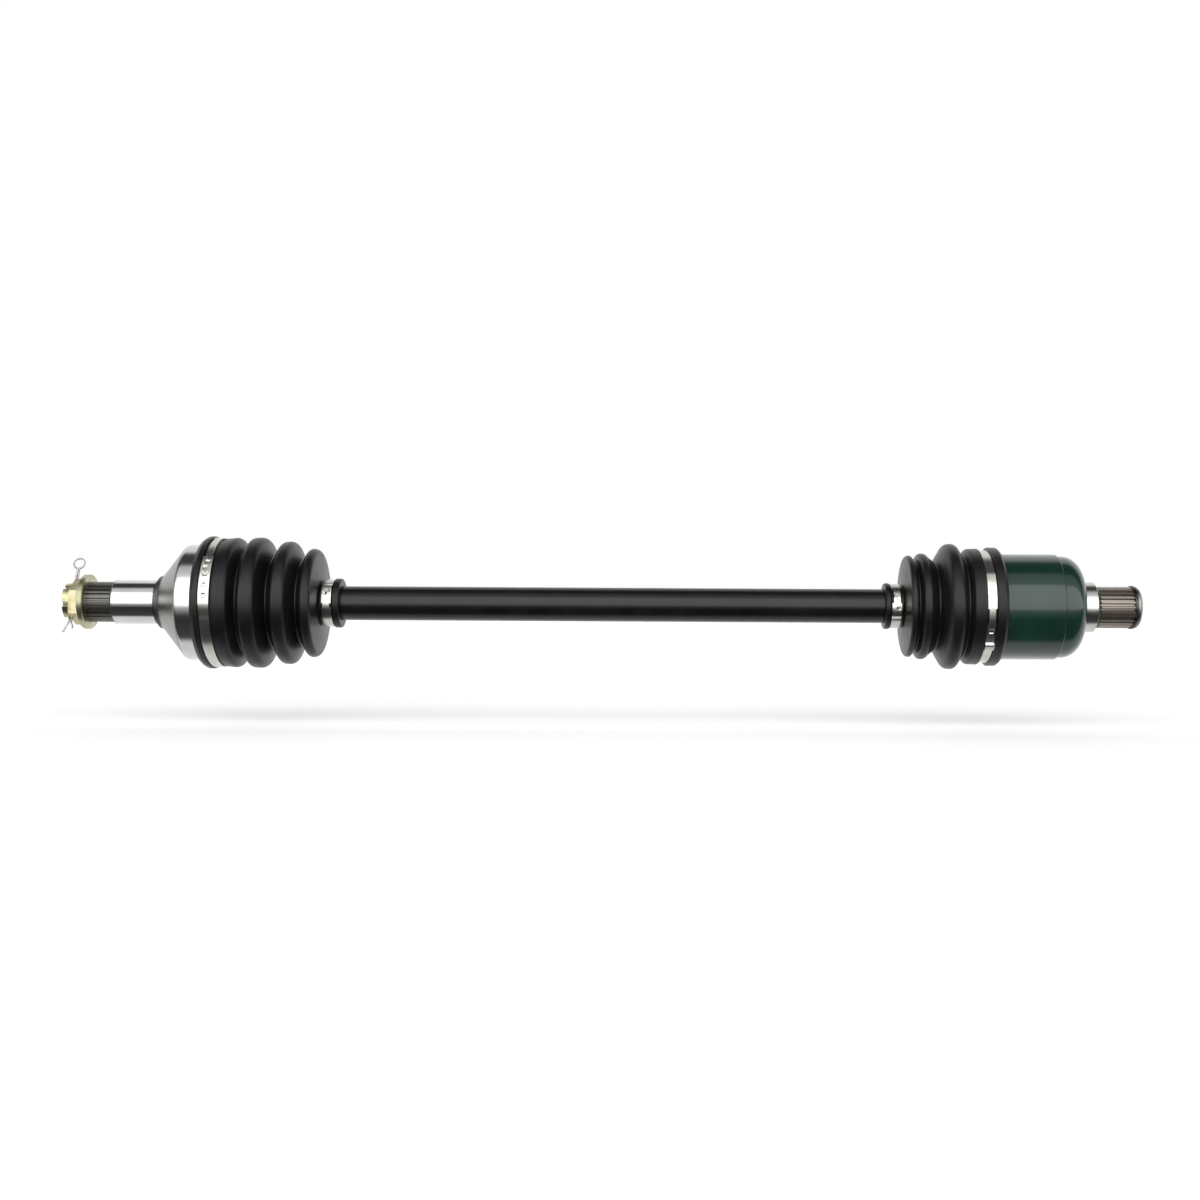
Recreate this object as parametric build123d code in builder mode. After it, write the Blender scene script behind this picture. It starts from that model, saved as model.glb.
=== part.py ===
from build123d import *

import math
import os

os.makedirs("parts", exist_ok=True)

# A CV half-shaft lies along X: wheel (outboard) end at -X, gearbox (inboard) end at +X, +Z up.
# The origin is the middle of the wheel bearing's journal, on the axle's centre line.

# ---- driving dimensions, in millimetres and degrees --------------------------------------

# outboard stub, which carries the wheel hub
journal_d = 30.0
journal_length = 28.0
journal_lead = 1.0
undercut_width = 2.2
undercut_depth = 0.5
shoulder_height = 2.6
wheel_spline_d = 27.2
wheel_spline_depth = 1.3
wheel_spline_teeth = 26
spline_root_share = 0.3
spline_tip_share = 0.17
wheel_spline_length = 17.0
thread_d = 20.0
thread_length = 16.2
thread_lead = 1.2
centre_drill_d = 6.0
centre_drill_depth = 3.0

# bell, the outer race of the fixed outboard joint
bell_wall = 4.2
bell_neck_rise = 0.8
bell_neck_length = 2.7
bell_neck_round = 1.5
bell_cone_angle = 50.1
bell_round = 3.5
bell_end_wall = 2.8
centre_to_mouth = 13.5
mouth_flare = 2.0
mouth_flare_length = 4.0
lip_round = 0.8

# balls, cages and inner races
outboard_ball_d = 15.875
outboard_pitch_d = 54.0
outboard_cage_wall = 5.0
outboard_cage_width = 30.0
outboard_race_width = 24.0
outboard_bend_limit = 40.0
inboard_ball_d = 14.288
inboard_pitch_d = 48.0
inboard_cage_wall = 4.4
inboard_cage_width = 24.0
inboard_race_width = 22.0
inboard_bend_limit = 20.0
inboard_plunge_limit = 13.0
ball_count = 6
cut_past = 1.0
sphere_gap = 0.06
track_gap = 0.06
window_gap = 0.02
window_play = 3.0
window_corner = 3.0
floor_gap = 1.5
track_swing_spare = 2.0
through_swing = 62.0
track_run_past = 1.0

# axle bar
joint_spacing = 549.5
bar_d = 23.0
neck_d = 19.0
race_spline_d = 21.8
race_spline_depth = 1.0
race_spline_teeth = 24
race_spline_gap = 0.03
race_stop_height = 1.4
race_stop_width = 2.5
bar_overhang = 4.5
bar_end_chamfer = 0.8
outboard_neck_reach = 38.0
inboard_neck_reach = 60.0
neck_taper = 9.0
clip_wire = 2.0
clip_height = 1.6
clip_groove_depth = 1.4
clip_gap = 4.0

# inboard cup, the outer race of the plunging joint, and its stub
cup_wall = 4.6
cup_rear_step = 1.3
cup_step_slope = 0.8
cup_step_round = 0.3
cup_mouth_to_centre = 37.0
cup_mouth_flare = 3.6
cup_mouth_flare_length = 4.0
cup_rear_step_from_back = 17.1
cup_corner_round = 12.5
cup_floor = 6.7
seal_journal_d = 34.0
seal_journal_length = 9.5
seal_journal_cone = 3.0
gear_spline_d = 28.0
gear_spline_depth = 1.3
gear_spline_teeth = 26
gear_spline_length = 22.0
gear_spline_runout = 0.8
gear_groove_width = 2.0
gear_groove_depth = 1.6
gear_tip_length = 3.0
gear_tip_chamfer = 1.4
stub_circlip_proud = 0.7
stub_circlip_side_gap = 0.1
circlip_gap_angle = 200.0
stopper_wire = 2.0
stopper_ball_gap = 0.5
stopper_groove_gap = 0.05

# castle nut, washer and cotter pin
nut_wall = 3.5
nut_hex_height = 6.8
nut_crown_wall = 2.3
nut_crown_height = 4.8
nut_slot_width = 3.6
nut_edge_chamfer = 0.8
washer_width = 8.5
washer_thickness = 4.0
washer_edge = 0.5
thread_clearance = 0.1
washer_clearance = 0.3
pin_wire = 1.25
pin_bend_r = 0.66
pin_leg_gap = 0.1
pin_hole_d = 3.2
pin_lean = 22.0
pin_eye_clearance = 12.2
pin_eye_r = 3.7
pin_bend_clearance = 2.2
pin_long_tail = (2.9, 7.2)
pin_short_tail = (1.6, 4.4)

# boots: a rubber wall that follows crests and valleys, with a cuff at each end
# each fold is (distance from the housing's mouth, height above the housing)
boot_play = 0.1
crest_round = 2.0
inboard_crest_round = 1.2
bead_round = 0.3
outboard_boot_wall = 2.8
outboard_folds = ((2.5, 5.0), (6.3, 4.8), (12.7, -1.0), (21.3, 5.1), (31.5, -4.2), (41.6, 3.0), (50.5, -7.0),
                  (57.0, -2.0), (61.6, -3.2))
outboard_cuff_wall = 3.8
outboard_lip_wall = 5.7
outboard_lip_setback = 15.2
outboard_lip_slope = (3.6, 1.7)
inboard_boot_wall = 2.4
inboard_folds = ((39.3, -1.0), (36.0, -3.0), (30.0, 0.3), (21.8, -4.4), (11.0, 7.2), (2.7, 1.4), (-1.5, 3.4))
inboard_cuff_wall = 1.3
inboard_cuff_crest = 3.4
inboard_lip_wall = 4.4
inboard_lip_setback = 21.8
inboard_lip_slope = (2.6, 1.8)
cuff_groove_depth = 1.0
cuff_groove_width = 5.0
small_cuff_wall = 3.5
small_bead_rise = 1.6
outboard_bead_length = 5.0
inboard_bead_length = 4.0
bead_slope = 1.0
cuff_corner_gap = 1.3
corner_round = 0.8
mouth_clear = 1.0

# clamps: a steel band with a crimped ear, at an angle about X from +Y
band_thickness = 1.0
small_band_thickness = 0.9
outboard_band_width = 7.0
outboard_band_setback = 9.0
outboard_small_band_width = 6.8
outboard_small_band_reach = 64.8
inboard_band_width = 6.4
inboard_band_setback = 7.7
inboard_small_band_width = 6.8
inboard_small_band_reach = 51.2
ear_length = 5.0
ear_width_share = 0.8
ear_corner = 0.8
ear_height = 2.2
small_ear_height = 1.6
outboard_ear_angle = 30.0
inboard_ear_angle = 223.0
inboard_small_ear_angle = 150.0

# ---- places along X -----------------------------------------------------------------------

journal_outer_x = -journal_length / 2
wheel_spline_x = journal_outer_x - journal_lead - wheel_spline_length
stub_tip_x = wheel_spline_x - thread_length
shoulder_x = journal_length / 2 + undercut_width
shoulder_r = journal_d / 2 + shoulder_height
outboard_ball_r = outboard_ball_d / 2
outboard_pitch_r = outboard_pitch_d / 2
inboard_ball_r = inboard_ball_d / 2
inboard_pitch_r = inboard_pitch_d / 2
bell_neck_r = shoulder_r + bell_neck_rise
neck_end_x = shoulder_x + bell_neck_length

# The outboard centre is the first whole millimetre that leaves the bell its end wall behind the tracks.
track_swing = outboard_bend_limit / 2 + track_swing_spare
cone_sin = math.sin(math.radians(bell_cone_angle))
cone_cos = math.cos(math.radians(bell_cone_angle))
track_end_r = outboard_pitch_r * math.cos(math.radians(track_swing))
track_end_back = outboard_pitch_r * math.sin(math.radians(track_swing))
track_end_depth = outboard_ball_r + track_gap + bell_end_wall
outboard_x = math.ceil(
    neck_end_x + track_end_back + (track_end_depth + cone_cos * (track_end_r - bell_neck_r)) / cone_sin
)
bell_mouth_x = outboard_x + centre_to_mouth
inboard_x = outboard_x + joint_spacing
cup_mouth_x = inboard_x - cup_mouth_to_centre
ball_pitch_angle = 360 / ball_count
ball_angles = [ball_pitch_angle * (k + 0.5) for k in range(ball_count)]


def turned(*outline, mode=Mode.ADD):
    """Turn a closed outline of (x, radius) points about the axle's centre line."""
    with BuildSketch(Plane.XZ) as section:
        with BuildLine():
            Polyline(*outline, close=True)
        make_face()
    revolve(section.sketch, axis=Axis.X, mode=mode)


def ring(x_low, x_high, inner_r, outer_r, mode=Mode.ADD):
    """Turn a plain ring of rectangular section."""
    turned((x_low, inner_r), (x_high, inner_r), (x_high, outer_r), (x_low, outer_r), mode=mode)


def on_sphere(sphere_r, offset):
    """Radius, from the centre line, of a sphere at a distance along X from its centre."""
    return math.sqrt(sphere_r**2 - offset**2)


def spline_outline(tip_d, depth, teeth, grow=0.0):
    """Points of a straight-sided spline's end view, pushed outwards by grow."""
    tip_r = tip_d / 2 + grow
    root_r = tip_d / 2 - depth + grow
    pitch = 2 * math.pi / teeth
    points = []
    for tooth in range(teeth):
        for radius, share in ((root_r, -spline_root_share), (tip_r, -spline_tip_share),
                              (tip_r, spline_tip_share), (root_r, spline_root_share)):
            angle = pitch * (tooth + share)
            points.append((radius * math.cos(angle), radius * math.sin(angle)))
    return points


def spline_prism(x_low, length, tip_d, depth, teeth, grow=0.0, mode=Mode.ADD):
    """Extrude a spline's end view along the axle."""
    with BuildSketch(Plane.YZ.offset(x_low)) as end_view:
        Polygon(*spline_outline(tip_d, depth, teeth, grow))
    extrude(end_view.sketch, amount=length, mode=mode)


def radial_plane(x, angle, out=0.0):
    """A plane square to the radius at an angle about X, with its own X along the axle."""
    radial = Vector(0, math.cos(math.radians(angle)), math.sin(math.radians(angle)))
    return Plane(origin=Vector(x, 0, 0) + radial * out, x_dir=(1, 0, 0), z_dir=radial)


def side_drift(pitch_r, bend):
    """Sideways travel of a ball in its track, because the ball turns with the cage by half the bend."""
    half = math.radians(bend / 2)
    return pitch_r * max(
        abs(math.sin(math.radians(a)) * math.cos(math.radians(a))) for a in ball_angles
    ) * (1 - math.cos(half))


def track_cutter(centre_x, pitch_r, ball_r, drift, swing):
    """Make the space that one ball's track takes, above the centre line.

    A slot turns about the joint's centre from the mouth back to -swing, where a round end closes it.
    """
    centre = Vector(centre_x, 0, 0)
    along = Vector(1, 0, 0)
    radial = Vector(0, 0, 1)
    tangent = Vector(0, -1, 0)
    section_r = ball_r + track_gap

    def section_plane(degrees):
        outward = radial * math.cos(math.radians(degrees)) + along * math.sin(math.radians(degrees))
        return Plane(origin=centre, x_dir=tangent, z_dir=tangent.cross(outward)), outward

    start_plane, _ = section_plane(through_swing)
    end_plane, end_outward = section_plane(-swing)
    with BuildPart() as cutter:
        with BuildSketch(start_plane):
            with Locations((0, pitch_r)):
                SlotCenterToCenter(2 * drift, 2 * section_r)
        revolve(axis=Axis(centre, tangent), revolution_arc=through_swing + swing)
        with BuildSketch(end_plane):
            with Locations((0, pitch_r)):
                SlotCenterToCenter(2 * drift, 2 * section_r)
            with Locations((0, pitch_r + section_r)):
                Rectangle(4 * section_r, 2 * section_r, mode=Mode.INTERSECT)
        revolve(axis=Axis(centre + end_outward * pitch_r, tangent), revolution_arc=180)
    return cutter.part


def cut_tracks(cutter):
    """Cut one track for each ball."""
    for angle in ball_angles:
        add(cutter.rotate(Axis.X, angle - 90), mode=Mode.SUBTRACT)


def inner_race(centre_x, width, sphere_r, cutter):
    """Build an inner race: a ball-shaped ring with a splined bore and a track for each ball."""
    half = width / 2
    face_r = on_sphere(sphere_r, half)
    with BuildSketch(Plane.XZ) as section:
        with BuildLine():
            Polyline((centre_x + half, face_r), (centre_x + half, 0), (centre_x - half, 0),
                     (centre_x - half, face_r))
            ThreePointArc((centre_x - half, face_r), (centre_x, sphere_r), (centre_x + half, face_r))
        make_face()
    revolve(section.sketch, axis=Axis.X)
    spline_prism(centre_x - half - cut_past, width + 2 * cut_past, race_spline_d, race_spline_depth,
                 race_spline_teeth, race_spline_gap, mode=Mode.SUBTRACT)
    cut_tracks(cutter)


def cage(centre_x, width, inner_r, outer_r, ball_r):
    """Build a cage: a ring between two spheres with a window for each ball."""
    half = width / 2
    inner_face = on_sphere(inner_r, half)
    outer_face = on_sphere(outer_r, half)
    with BuildSketch(Plane.XZ) as section:
        with BuildLine():
            ThreePointArc((centre_x - half, outer_face), (centre_x, outer_r), (centre_x + half, outer_face))
            Line((centre_x + half, outer_face), (centre_x + half, inner_face))
            ThreePointArc((centre_x + half, inner_face), (centre_x, inner_r), (centre_x - half, inner_face))
            Line((centre_x - half, inner_face), (centre_x - half, outer_face))
        make_face()
    revolve(section.sketch, axis=Axis.X)
    window_length = 2 * (ball_r + window_gap)
    for angle in ball_angles:
        with BuildSketch(radial_plane(centre_x, angle)) as window:
            RectangleRounded(window_length, window_length + window_play, window_corner)
        extrude(window.sketch, amount=outer_r + cut_past, mode=Mode.SUBTRACT)


def ball(centre_x, pitch_r, ball_r, angle):
    """Build one ball in its window."""
    y = pitch_r * math.cos(math.radians(angle))
    z = pitch_r * math.sin(math.radians(angle))
    with Locations((centre_x, y, z)):
        Sphere(ball_r)


def split_ring(x_low, x_high, inner_r, outer_r, gap, angle):
    """Build a square-section snap ring with an open gap at an angle."""
    ring(x_low, x_high, inner_r, outer_r)
    middle = (x_low + x_high) / 2
    with BuildSketch(radial_plane(middle, angle)) as opening:
        Rectangle(2 * (x_high - x_low), gap)
    extrude(opening.sketch, amount=2 * outer_r, mode=Mode.SUBTRACT)


def clamp(x_low, width, inner_r, thickness, ear_rise, angle):
    """Build a band clamp: a ring with a crimped ear standing on it."""
    ring(x_low, x_low + width, inner_r, inner_r + thickness)
    middle = x_low + width / 2
    with BuildSketch(radial_plane(middle, angle, inner_r + thickness / 2)) as foot:
        RectangleRounded(width * ear_width_share, ear_length, ear_corner)
    extrude(foot.sketch, amount=ear_rise + thickness / 2)


def boot(outer, rounds, inner):
    """Turn a boot's wall between a rounded outer outline and an inner one with the same two ends."""
    with BuildSketch(Plane.XZ) as section:
        with BuildLine():
            FilletPolyline(*outer, radius=rounds)
            Polyline(*inner)
        make_face()
    revolve(section.sketch, axis=Axis.X)


# ---- outboard outer race: bell, journal, spline and threaded stub in one forging ------------

outboard_drift = side_drift(outboard_pitch_r, outboard_bend_limit)
outboard_cage_inner = outboard_pitch_r - outboard_cage_wall / 2
outboard_cage_outer = outboard_pitch_r + outboard_cage_wall / 2
outboard_bore_r = outboard_cage_outer + sphere_gap
outboard_race_sphere = outboard_cage_inner - sphere_gap
cage_corner = math.degrees(math.asin(outboard_cage_width / 2 / outboard_cage_outer))
race_corner = math.degrees(math.asin(outboard_race_width / 2 / outboard_race_sphere))
outboard_cavity = floor_gap + max(
    outboard_cage_outer * math.sin(math.radians(cage_corner + outboard_bend_limit / 2)),
    outboard_race_sphere * math.sin(math.radians(race_corner + outboard_bend_limit)),
)
bell_r = outboard_pitch_r + outboard_ball_r + track_gap + bell_wall
bell_cone_length = (bell_r - bell_neck_r) * cone_cos / cone_sin
thread_r = thread_d / 2
flare_x = bell_mouth_x - mouth_flare_length
flare_r = on_sphere(outboard_bore_r, centre_to_mouth - mouth_flare_length)
mouth_r = flare_r + mouth_flare
cavity_x = outboard_x - outboard_cavity
cavity_r = on_sphere(outboard_bore_r, outboard_cavity)
outboard_band_x = bell_mouth_x - outboard_band_setback
outboard_track = track_cutter(outboard_x, outboard_pitch_r, outboard_ball_r, outboard_drift, track_swing)

nut_inner_x = wheel_spline_x - washer_thickness
nut_outer_x = nut_inner_x - nut_hex_height - nut_crown_height
nut_flat_r = thread_r + nut_wall
nut_crown_r = thread_r + nut_crown_wall
pin_x = nut_outer_x + nut_crown_height - pin_hole_d / 2

with BuildPart() as outboard_outer_race:
    with BuildSketch(Plane.XZ):
        with BuildLine():
            Polyline(
                (bell_mouth_x, 0),
                (stub_tip_x, 0),
                (stub_tip_x, thread_r - thread_lead),
                (stub_tip_x + thread_lead, thread_r),
                (wheel_spline_x, thread_r),
                (wheel_spline_x, wheel_spline_d / 2 - wheel_spline_depth),
                (journal_outer_x - journal_lead, wheel_spline_d / 2 - wheel_spline_depth),
                (journal_outer_x - journal_lead, journal_d / 2 - journal_lead),
                (journal_outer_x, journal_d / 2),
                (journal_length / 2, journal_d / 2),
                (journal_length / 2, journal_d / 2 - undercut_depth),
                (shoulder_x, journal_d / 2 - undercut_depth),
                (shoulder_x, shoulder_r),
            )
            FilletPolyline(
                (shoulder_x, shoulder_r),
                (neck_end_x, bell_neck_r),
                (neck_end_x + bell_cone_length, bell_r),
                (bell_mouth_x, bell_r),
                (bell_mouth_x, 0),
                radius=(bell_neck_round, bell_round, lip_round),
            )
        make_face()
    revolve(axis=Axis.X)
    spline_prism(wheel_spline_x, wheel_spline_length, wheel_spline_d, wheel_spline_depth,
                 wheel_spline_teeth)
    with BuildSketch(Plane.XZ):
        with BuildLine():
            Polyline((flare_x, flare_r), (bell_mouth_x, mouth_r), (bell_mouth_x + cut_past, mouth_r),
                     (bell_mouth_x + cut_past, 0), (cavity_x, 0), (cavity_x, cavity_r))
            ThreePointArc((cavity_x, cavity_r), (outboard_x, outboard_bore_r), (flare_x, flare_r))
        make_face()
    revolve(axis=Axis.X, mode=Mode.SUBTRACT)
    cut_tracks(outboard_track)
    groove_middle = outboard_band_x + outboard_band_width / 2
    ring(groove_middle - cuff_groove_width / 2, groove_middle + cuff_groove_width / 2,
         bell_r - cuff_groove_depth, bell_r + cut_past, mode=Mode.SUBTRACT)
    turned((stub_tip_x - cut_past, 0), (stub_tip_x - cut_past, centre_drill_d / 2),
           (stub_tip_x, centre_drill_d / 2), (stub_tip_x + centre_drill_depth, 0), mode=Mode.SUBTRACT)
    with BuildSketch(radial_plane(pin_x, 90 - pin_lean, -thread_d)):
        Circle(pin_hole_d / 2)
    extrude(amount=2 * thread_d, mode=Mode.SUBTRACT)
outboard_outer_race.part.label = "outboard_outer_race"
export_step(outboard_outer_race.part, "parts/outboard_outer_race.step")

# ---- castle nut, washer and cotter pin -----------------------------------------------------

with BuildPart() as hub_washer:
    ring(nut_inner_x, wheel_spline_x, thread_r + washer_clearance, thread_r + washer_width)
    chamfer(hub_washer.edges().filter_by(GeomType.CIRCLE).sort_by(SortBy.RADIUS)[-2:], washer_edge)
hub_washer.part.label = "hub_washer"
export_step(hub_washer.part, "parts/hub_washer.step")

with BuildPart() as castle_nut:
    with BuildSketch(Plane.YZ.offset(nut_inner_x)):
        RegularPolygon(nut_flat_r, 6, major_radius=False, rotation=30)
    extrude(amount=-nut_hex_height)
    hex_corner_r = 2 * nut_flat_r / math.sqrt(3)
    hex_top_x = nut_inner_x - nut_hex_height
    turned((hex_top_x - cut_past, hex_corner_r - nut_edge_chamfer - cut_past),
           (hex_top_x + nut_edge_chamfer, hex_corner_r),
           (hex_top_x + nut_edge_chamfer, hex_corner_r + cut_past),
           (hex_top_x - cut_past, hex_corner_r + cut_past), mode=Mode.SUBTRACT)
    ring(nut_outer_x, hex_top_x, 0, nut_crown_r)
    ring(nut_outer_x - cut_past, nut_inner_x + cut_past, 0, thread_r + thread_clearance, mode=Mode.SUBTRACT)
    for slot in range(6):
        with BuildSketch(radial_plane(nut_outer_x, 90 - pin_lean + 60 * slot)):
            with Locations((nut_crown_height / 2 - cut_past, 0)):
                Rectangle(nut_crown_height + 2 * cut_past, nut_slot_width)
        extrude(amount=2 * nut_crown_r, mode=Mode.SUBTRACT)
castle_nut.part.label = "castle_nut"
export_step(castle_nut.part, "parts/castle_nut.step")

# The pin's wire goes up one leg, round the eye and down the other, in the plane of X and the pin's own axis.
pin_radial = Vector(0, math.cos(math.radians(90 - pin_lean)), math.sin(math.radians(90 - pin_lean)))
pin_plane = Plane(origin=(pin_x, 0, 0), x_dir=(1, 0, 0), z_dir=Vector(1, 0, 0).cross(pin_radial))
leg = (pin_wire + pin_leg_gap) / 2
pin_eye_start = nut_crown_r + pin_eye_clearance
pin_bend_at = nut_crown_r + pin_bend_clearance
eye_middle = pin_eye_start + math.sqrt(pin_eye_r**2 - leg**2)


def wire_run(start, end):
    """Add one straight run of the pin's wire with a round at its far end."""
    start_point = pin_plane.from_local_coords(start)
    end_point = pin_plane.from_local_coords(end)
    with BuildSketch(Plane(origin=start_point, z_dir=end_point - start_point)) as section:
        Circle(pin_wire / 2)
    extrude(section.sketch, amount=(end_point - start_point).length)
    with Locations(end_point):
        Sphere(pin_bend_r)


with BuildPart() as cotter_pin:
    with BuildSketch(Plane(origin=pin_plane.origin, x_dir=pin_radial, z_dir=(1, 0, 0))):
        with Locations((eye_middle + pin_eye_r, 0)):
            Circle(pin_wire / 2)
    revolve(axis=Axis(pin_plane.from_local_coords((0, eye_middle, 0)), pin_plane.z_dir))
    for side, tail in ((-1, pin_long_tail), (1, pin_short_tail)):
        bend = (side * leg, -pin_bend_at, 0)
        wire_run((side * leg, pin_eye_start, 0), bend)
        wire_run(bend, (side * (leg + tail[0]), -pin_bend_at - tail[1], 0))
cotter_pin.part.label = "cotter_pin"
export_step(cotter_pin.part, "parts/cotter_pin.step")

# ---- the balls' inner parts, outboard -------------------------------------------------------

through_track = track_cutter(outboard_x, outboard_pitch_r, outboard_ball_r, outboard_drift,
                             through_swing)

with BuildPart() as outboard_inner_race:
    inner_race(outboard_x, outboard_race_width, outboard_race_sphere, through_track)
outboard_inner_race.part.label = "outboard_inner_race"
export_step(outboard_inner_race.part, "parts/outboard_inner_race.step")

with BuildPart() as outboard_cage:
    cage(outboard_x, outboard_cage_width, outboard_cage_inner, outboard_cage_outer, outboard_ball_r)
outboard_cage.part.label = "outboard_cage"
export_step(outboard_cage.part, "parts/outboard_cage.step")

for number, angle in enumerate(ball_angles, start=1):
    with BuildPart() as outboard_ball:
        ball(outboard_x, outboard_pitch_r, outboard_ball_r, angle)
    outboard_ball.part.label = f"outboard_ball_{number}"
    export_step(outboard_ball.part, f"parts/outboard_ball_{number}.step")

# ---- axle bar with a spline, a race stop and a clip groove at each end ----------------------

bar_r = bar_d / 2
neck_r = neck_d / 2
core_r = race_spline_d / 2 - race_spline_depth
clip_groove_r = race_spline_d / 2 - clip_groove_depth
race_stop_r = race_spline_d / 2 + race_stop_height
clip_outer_r = race_spline_d / 2 + clip_height
outboard_face_x = outboard_x - outboard_race_width / 2
inboard_face_x = inboard_x + inboard_race_width / 2
outboard_stop_x = outboard_x + outboard_race_width / 2
inboard_stop_x = inboard_x - inboard_race_width / 2
bar_low_x = outboard_face_x - bar_overhang
bar_high_x = inboard_face_x + bar_overhang

with BuildPart() as axle_bar:
    turned(
        (bar_low_x, 0),
        (bar_low_x, core_r - bar_end_chamfer),
        (bar_low_x + bar_end_chamfer, core_r),
        (outboard_stop_x, core_r),
        (outboard_stop_x, race_stop_r),
        (outboard_stop_x + race_stop_width, race_stop_r),
        (outboard_stop_x + race_stop_width, neck_r),
        (outboard_x + outboard_neck_reach, neck_r),
        (outboard_x + outboard_neck_reach + neck_taper, bar_r),
        (inboard_x - inboard_neck_reach - neck_taper, bar_r),
        (inboard_x - inboard_neck_reach, neck_r),
        (inboard_stop_x - race_stop_width, neck_r),
        (inboard_stop_x - race_stop_width, race_stop_r),
        (inboard_stop_x, race_stop_r),
        (inboard_stop_x, core_r),
        (bar_high_x - bar_end_chamfer, core_r),
        (bar_high_x, core_r - bar_end_chamfer),
        (bar_high_x, 0),
    )
    spline_prism(bar_low_x + bar_end_chamfer, outboard_stop_x - bar_low_x - bar_end_chamfer,
                 race_spline_d, race_spline_depth, race_spline_teeth)
    spline_prism(inboard_stop_x, bar_high_x - bar_end_chamfer - inboard_stop_x,
                 race_spline_d, race_spline_depth, race_spline_teeth)
    ring(outboard_face_x - clip_wire, outboard_face_x, clip_groove_r, bar_r + cut_past, mode=Mode.SUBTRACT)
    ring(inboard_face_x, inboard_face_x + clip_wire, clip_groove_r, bar_r + cut_past, mode=Mode.SUBTRACT)
axle_bar.part.label = "axle_bar"
export_step(axle_bar.part, "parts/axle_bar.step")

with BuildPart() as outboard_race_clip:
    split_ring(outboard_face_x - clip_wire, outboard_face_x, clip_groove_r, clip_outer_r, clip_gap, 0)
outboard_race_clip.part.label = "outboard_race_clip"
export_step(outboard_race_clip.part, "parts/outboard_race_clip.step")

with BuildPart() as inboard_race_clip:
    split_ring(inboard_face_x, inboard_face_x + clip_wire, clip_groove_r, clip_outer_r, clip_gap, 0)
inboard_race_clip.part.label = "inboard_race_clip"
export_step(inboard_race_clip.part, "parts/inboard_race_clip.step")

# ---- inboard plunging joint ------------------------------------------------------------------

inboard_drift = side_drift(inboard_pitch_r, inboard_bend_limit)
inboard_cage_inner = inboard_pitch_r - inboard_cage_wall / 2
inboard_cage_outer = inboard_pitch_r + inboard_cage_wall / 2
inboard_bore_r = inboard_cage_outer + sphere_gap
inboard_race_sphere = inboard_cage_inner - sphere_gap
inboard_cage_corner = math.degrees(math.asin(inboard_cage_width / 2 / inboard_cage_outer))
inboard_race_corner = math.degrees(math.asin(inboard_race_width / 2 / inboard_race_sphere))
bend_rad = math.radians(inboard_bend_limit)
bar_end_reach = (
    (inboard_race_width / 2 + bar_overhang) * math.cos(bend_rad) + clip_outer_r * math.sin(bend_rad)
)
inside_reach = inboard_plunge_limit + max(
    inboard_cage_outer * math.sin(math.radians(inboard_cage_corner + inboard_bend_limit / 2)),
    inboard_race_sphere * math.sin(math.radians(inboard_race_corner + inboard_bend_limit)),
    bar_end_reach,
)
ball_swing = inboard_pitch_r * math.sin(bend_rad / 2)
cup_floor_x = inboard_x + inside_reach + floor_gap
track_end_x = inboard_x + inboard_plunge_limit + ball_swing + inboard_ball_r + track_run_past
cup_back_x = cup_floor_x + cup_floor
cup_step_x = cup_back_x - cup_rear_step_from_back
cup_r = inboard_pitch_r + inboard_ball_r + track_gap + cup_wall
cup_rear_r = cup_r - cup_rear_step
seal_end_x = cup_back_x + seal_journal_length
gear_spline_x = seal_end_x + seal_journal_cone
gear_groove_x = gear_spline_x + gear_spline_length + gear_spline_runout
gear_tip_x = gear_groove_x + gear_groove_width + gear_tip_length
gear_r = gear_spline_d / 2
inboard_band_x = cup_mouth_x + inboard_band_setback
ball_low_x = inboard_x - inboard_plunge_limit - ball_swing - inboard_ball_r
stopper_x = ball_low_x - stopper_ball_gap - stopper_wire / 2
stopper_r = inboard_bore_r + stopper_wire / 2

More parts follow.
